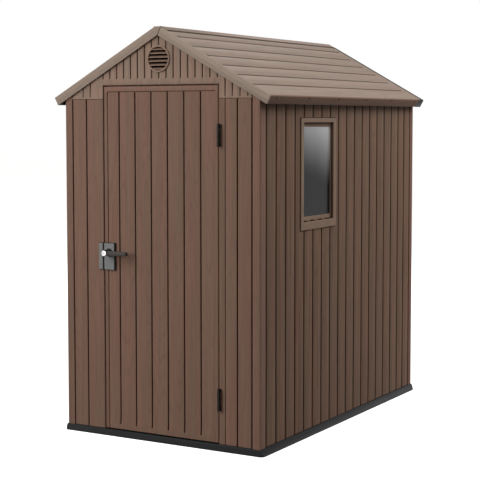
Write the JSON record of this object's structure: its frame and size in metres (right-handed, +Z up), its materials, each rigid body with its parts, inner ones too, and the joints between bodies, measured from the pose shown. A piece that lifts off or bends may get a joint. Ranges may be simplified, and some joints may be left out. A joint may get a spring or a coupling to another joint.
{
  "type": "tool shed",
  "caption": "Narrow resin garden shed with a pitched roof, a front door on side hinges with a lever handle, a tall side window and round louvred gable vents.",
  "frame": {"origin": "on the ground, at the centre of the floor base's footprint", "axes": "+Z up, +Y from the door to the back, +X to the right seen from the front; the window is on the +X side"},
  "size_m": [1.258, 1.8915, 2.05],
  "materials": {
    "brown_resin": "matte, moulded wood grain",
    "tan_resin": "matte, moulded wood grain",
    "black_resin": "satin",
    "grey_metal": "satin",
    "bright_metal": "satin",
    "pane": "clear"
  },
  "bodies": {
    "shed": {"floor_base": "black_resin", "post_front_left": "brown_resin", "post_front_right": "brown_resin", "post_rear_left": "brown_resin", "post_rear_right": "brown_resin", "front_wall_left": "brown_resin", "front_wall_right": "brown_resin", "front_gable": "brown_resin", "rear_wall_left": "brown_resin", "rear_wall_right": "brown_resin", "rear_gable": "brown_resin", "left_wall_front": "brown_resin", "left_wall_rear": "brown_resin", "right_wall_front": "brown_resin", "right_wall_rear": "brown_resin", "front_vent": "brown_resin", "rear_vent": "brown_resin", "roof_left": "tan_resin", "roof_right": "tan_resin", "front_verge_left": "tan_resin", "front_verge_right": "tan_resin", "rear_trim_left": "black_resin", "rear_trim_right": "black_resin", "ridge_cap": "tan_resin", "window_frame": "brown_resin", "window_sash": "brown_resin", "window_pane": "pane", "jamb_plate": "grey_metal", "hinge_upper_jamb": "black_resin", "hinge_lower_jamb": "black_resin"},
    "door": {"door_panel": "brown_resin", "lock_plate": "grey_metal", "hinge_upper_door": "black_resin", "hinge_lower_door": "black_resin"},
    "lever": {"door_lever": "black_resin", "lock_cylinder": "bright_metal"}
  },
  "joints": [
    {"name": "door_hinge", "type": "hinge", "parent": "shed", "child": "door", "pos_m": [0.347, -0.926, 0.9], "axis": [0, 0, 1], "range_deg": [0, 120]},
    {"name": "lever_turn", "type": "hinge", "parent": "door", "child": "lever", "pos_m": [-0.2955, -0.95, 0.9335], "axis": [0, 1, 0], "range_deg": [0, 60], "stiffness_Nm_per_rad": 0.6, "springref_deg": -20.05}
  ]
}
